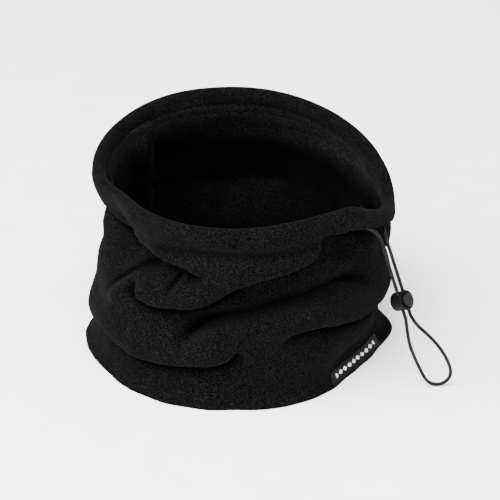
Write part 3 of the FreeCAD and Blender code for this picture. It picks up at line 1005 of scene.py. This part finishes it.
class GAITER_OT_seam(bpy.types.Operator):
    """Makes the side seam's allowance and the overlock thread along it, inside the tube"""

    bl_idname = "gaiter.seam"
    bl_label = "Side seam"

    def execute(self, context):
        cloth = the_cloth()
        wall = sizes().fleece
        bedding = SEAM_BEDDING * MM
        bm = bmesh.new()
        bmesh.ops.create_grid(bm, x_segments=SEAM_GRID[0], y_segments=SEAM_GRID[1], size=0.5)
        top = cloth.groove_row - 1
        foot = cloth.row_at(SEAM_FOOT, sum(SEAM_DEGREES) / 2)
        edge = cloth.rows - 1.0
        stitched = cloth.row_below_crest(INNER_STITCH_DROP, outside=False)
        thickness = []
        for vert in bm.verts:
            degrees = SEAM_DEGREES[0] + (vert.co.x + 0.5) * (SEAM_DEGREES[1] - SEAM_DEGREES[0])
            thickness.append(1.0 - ease(vert.co.x + 0.5))
            up = (vert.co.y + 0.5) / SEAM_UNDER_FACING
            if up <= 1.0:
                vert.co = cloth.on(foot + up * (top - foot), degrees, bedding - wall)[0]
            else:
                over = (up - 1.0) / (1.0 / SEAM_UNDER_FACING - 1.0)
                vert.co = cloth.on(edge + over * (stitched - edge), degrees, -bedding)[0]
        piece = new_piece("seam_allowance", bm, bpy.data.materials["Brushed polyester microfleece"])
        group = piece.vertex_groups.new(name="plies")
        for index, share in enumerate(thickness):
            group.add([index], share, "REPLACE")
        plies = piece.modifiers.new("plies", "SOLIDIFY")
        plies.thickness = SEAM_PLIES * MM
        plies.offset = -1.0
        plies.vertex_group = "plies"
        plies.thickness_vertex_group = SEAM_THIN
        finish_modifiers(piece)
        keep_off_floor(piece)
        mark_inner_side(piece)
        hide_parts("side_seam_allowance")

        bm = bmesh.new()
        depth = wall + OVERLOCK_DEPTH * MM
        pitch = (top - foot) / OVERLOCK_STITCHES
        outer_turn = SEAM_DEGREES[0] - OVERLOCK_DEGREES[0]
        inner_turn = SEAM_DEGREES[0] + OVERLOCK_DEGREES[1]
        for k in range(OVERLOCK_STITCHES):
            row = foot + pitch * (k + 0.5)
            edge, _ = cloth.on(row, outer_turn, -wall)
            lip, _ = cloth.on(row, outer_turn, -depth)
            inner, _ = cloth.on(row + pitch / 2, inner_turn, -depth)
            add_stitch(bm, edge, lip, sizes().thread)
            add_stitch(bm, lip, inner, sizes().thread)
        thread_piece("seam_overlock", bm, "side_seam_stitching")
        return {"FINISHED"}


class GAITER_OT_hidden_cord(bpy.types.Operator):
    """Makes the drawcord's run inside the tunnel and the bar tack that joins its ends"""

    bl_idname = "gaiter.hidden_cord"
    bl_label = "Drawcord in the tunnel"

    def execute(self, context):
        cloth = the_cloth()
        places = [Vector(CORD_ROUTE[-1]) * MM]
        for degrees in range(*TUNNEL_CORD_TURN):
            outer, _ = cloth.on(cloth.row_below_crest(TUNNEL_CORD_DROPS[0], outside=True), degrees)
            inner, _ = cloth.on(cloth.row_below_crest(TUNNEL_CORD_DROPS[1], outside=False), degrees)
            places.append((outer + inner) / 2)
        places.append(Vector(CORD_ROUTE[0]) * MM)
        line = nurbs_line(places)
        bm = bmesh.new()
        sweep(bm, line, sizes().cord / 2, TUNNEL_CORD_SIDES, bm.loops.layers.uv.new("Braid"))
        piece = new_piece("drawcord_hidden_run", bm, bpy.data.materials["Braided elastic cord"])
        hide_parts("drawcord_in_tunnel")

        turn = math.radians(sum(SEAM_DEGREES) / 2)
        middle = min(range(len(line)), key=lambda i: abs(math.atan2(line[i].y, line[i].x) - turn))
        ahead = (line[middle + 1] - line[middle]).normalized()
        side = ahead.orthogonal().normalized()
        up = ahead.cross(side)
        radius = sizes().cord / 2 + sizes().thread / 2
        helix = []
        for k in range(TACK_WRAPS * TACK_STEPS + 1):
            angle = 2 * math.pi * k / TACK_STEPS
            reach = side * math.cos(angle) * radius + up * math.sin(angle) * radius
            along = (k / (TACK_WRAPS * TACK_STEPS) - 0.5) * TACK_LENGTH * MM
            helix.append(line[middle] + reach + ahead * along)
        bm = bmesh.new()
        sweep(bm, helix, sizes().thread / 2, TACK_SIDES)
        thread_piece("cord_tack", bm, "cord_end_tack")
        return {"FINISHED"}


class GAITER_OT_buttonholes(bpy.types.Operator):
    """Makes the stitched slits that the cord comes out of, under the rim"""

    bl_idname = "gaiter.buttonholes"
    bl_label = "Buttonholes"

    def execute(self, context):
        cloth = the_cloth()
        for name, node_name, exit_place in (
            ("buttonhole_front", "cord_buttonhole_front", CORD_EXIT),
            ("buttonhole_rear", "cord_buttonhole_rear", CORD_RETURN),
        ):
            degrees, row = cloth.nearest(exit_place)
            bm = bmesh.new()
            for k in range(BUTTONHOLE_STITCHES):
                angle = 2 * math.pi * k / BUTTONHOLE_STITCHES
                ends = []
                for reach in (BUTTONHOLE_INNER, BUTTONHOLE_OUTER):
                    across = math.degrees(reach[0] * math.cos(angle) / UNROLL_RADIUS)
                    along = reach[1] * math.sin(angle) / cloth.row_pitch
                    ends.append(cloth.on(row + along, degrees + across, BUTTONHOLE_LIFT * MM)[0])
                add_stitch(bm, ends[0], ends[1], sizes().thread * BUTTONHOLE_THREAD)
            thread_piece(name, bm, node_name)
        return {"FINISHED"}


class GAITER_OT_label(bpy.types.Operator):
    """Makes the woven label and the stitches that hold it to the hem"""

    bl_idname = "gaiter.label"
    bl_label = "Woven label"

    def execute(self, context):
        cloth = the_cloth()
        bm = bmesh.new()
        uv = bm.loops.layers.uv.new("Weave")
        bmesh.ops.create_grid(bm, x_segments=LABEL_GRID[0], y_segments=LABEL_GRID[1], size=0.5)
        for face in bm.faces:
            for loop in face.loops:
                at = loop.vert.co
                loop[uv].uv = ((at.x + 0.5) * LABEL_LENGTH, (at.y + 0.5) * LABEL_HEIGHT)
        span = LABEL_DEGREES[1] - LABEL_DEGREES[0]
        for vert in bm.verts:
            degrees = LABEL_DEGREES[0] + (vert.co.x + 0.5) * span
            row = cloth.row_at(LABEL_FOOT + (vert.co.y + 0.5) * LABEL_HEIGHT, degrees)
            vert.co = cloth.on(row, degrees, LABEL_LIFT * MM)[0]
        bmesh.ops.recalc_face_normals(bm, faces=bm.faces)
        piece = new_piece("label", bm, label_material())
        ply = piece.modifiers.new("ply", "SOLIDIFY")
        ply.thickness = LABEL_THICKNESS * MM
        ply.offset = -1.0
        finish_modifiers(piece)
        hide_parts("woven_label")

        bm = bmesh.new()
        inset = LABEL_STITCH_INSET
        right, top = LABEL_LENGTH - inset, LABEL_HEIGHT - inset
        corners = [(inset, inset), (right, inset), (right, top), (inset, top), (inset, inset)]
        for (x0, y0), (x1, y1) in zip(corners, corners[1:]):
            count = round(math.hypot(x1 - x0, y1 - y0) / LABEL_STITCH_PITCH)
            for k in range(count):
                ends = []
                for part in (k / count, (k + LABEL_STITCH_SHARE) / count):
                    x, y = x0 + (x1 - x0) * part, y0 + (y1 - y0) * part
                    degrees = LABEL_DEGREES[0] + x / LABEL_LENGTH * span
                    row = cloth.row_at(LABEL_FOOT + y, degrees)
                    ends.append(cloth.on(row, degrees, LABEL_STITCH_LIFT * MM)[0])
                add_stitch(bm, ends[0], ends[1], sizes().thread * LABEL_THREAD)
        thread_piece("label_stitches", bm, "label_stitching")
        return {"FINISHED"}


class GAITER_OT_stitching(bpy.types.Operator):
    """Makes the tunnel's rows of stitches, outside and inside"""

    bl_idname = "gaiter.stitching"
    bl_label = "Tunnel stitching"

    def execute(self, context):
        cloth = the_cloth()
        bm = bmesh.new()
        inner_row = cloth.row_below_crest(INNER_STITCH_DROP, outside=False)
        for row in (cloth.groove_row, inner_row):
            count = int(2 * math.pi * UNROLL_RADIUS * MM / sizes().stitch)
            for k in range(count):
                degrees = 360.0 * k / count
                start, _ = cloth.on(row, degrees, -STITCH_SINK * MM)
                end, _ = cloth.on(row, degrees + STITCH_SHARE * 360.0 / count, -STITCH_SINK * MM)
                add_stitch(bm, start, end, sizes().thread)
        thread_material()
        thread_piece("tunnel_stitches", bm, "tunnel_stitching")
        return {"FINISHED"}


class GAITER_OT_lock(bpy.types.Operator):
    """Gives the cord lock's barrel and plunger their finishes"""

    bl_idname = "gaiter.lock"
    bl_label = "Cord lock"

    def execute(self, context):
        finishes = {
            "lock_barrel": moulded_material(
                "Moulded acetal, matt", ("#030303", "#060606"), 0.5, 0.5, 0.07
            ),
            "lock_plunger": moulded_material(
                "Moulded acetal, satin", ("#070708", "#0b0b0c"), 0.36, 0.2, 0.16
            ),
        }
        for name, material in finishes.items():
            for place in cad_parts[name].material_slots:
                place.material = material
        return {"FINISHED"}


class GAITER_OT_stage(bpy.types.Operator):
    """Makes the paper floor and the soft studio lights"""

    bl_idname = "gaiter.stage"
    bl_label = "Studio"

    def execute(self, context):
        bm = bmesh.new()
        bmesh.ops.create_grid(bm, x_segments=2, y_segments=2, size=PAPER_HALF)
        mesh = bpy.data.meshes.new("paper_floor")
        bm.to_mesh(mesh)
        bm.free()
        mesh.materials.append(studio_material())
        floor = bpy.data.objects.new("paper_floor", mesh)
        floor.location.z = -PAPER_DROP
        context.scene.collection.objects.link(floor)
        world = bpy.data.worlds.new("studio")
        context.scene.world = world
        world.use_nodes = True
        background = world.node_tree.nodes["Background"]
        background.inputs["Color"].default_value = (1, 1, 1, 1)
        background.inputs["Strength"].default_value = 1.0
        for name, power, size, place in LIGHTS:
            lamp = bpy.data.lights.new(name, "AREA")
            lamp.energy = power
            lamp.size = size
            light = bpy.data.objects.new(name, lamp)
            light.location = place
            aim = Vector(LIGHT_AIM) - light.location
            light.rotation_euler = aim.to_track_quat("-Z", "Y").to_euler()
            context.scene.collection.objects.link(light)
        return {"FINISHED"}


class GAITER_PT_panel(bpy.types.Panel):
    """Lists the gaiter's sizes and the steps that build it"""

    bl_label = "Fleece neck gaiter"
    bl_idname = "GAITER_PT_panel"
    bl_space_type = "VIEW_3D"
    bl_region_type = "UI"
    bl_category = "Gaiter"

    def draw(self, context):
        for name in GaiterSizes.__annotations__:
            self.layout.prop(context.scene.gaiter_sizes, name)
        for step in STEPS:
            self.layout.operator(step.bl_idname)


STEPS = (
    GAITER_OT_camera,
    GAITER_OT_drawcord,
    GAITER_OT_fleece,
    GAITER_OT_stitching,
    GAITER_OT_seam,
    GAITER_OT_hidden_cord,
    GAITER_OT_buttonholes,
    GAITER_OT_label,
    GAITER_OT_lock,
    GAITER_OT_stage,
)
CLASSES = (GaiterSizes, *STEPS, GAITER_PT_panel)


def register():
    for kind in CLASSES:
        bpy.utils.register_class(kind)
    bpy.types.Scene.gaiter_sizes = PointerProperty(type=GaiterSizes)


def unregister():
    del bpy.types.Scene.gaiter_sizes
    for kind in reversed(CLASSES):
        bpy.utils.unregister_class(kind)


def main():
    register()
    for step in STEPS:
        group, name = step.bl_idname.split(".")
        getattr(getattr(bpy.ops, group), name)()


if __name__ == "__main__":
    main()
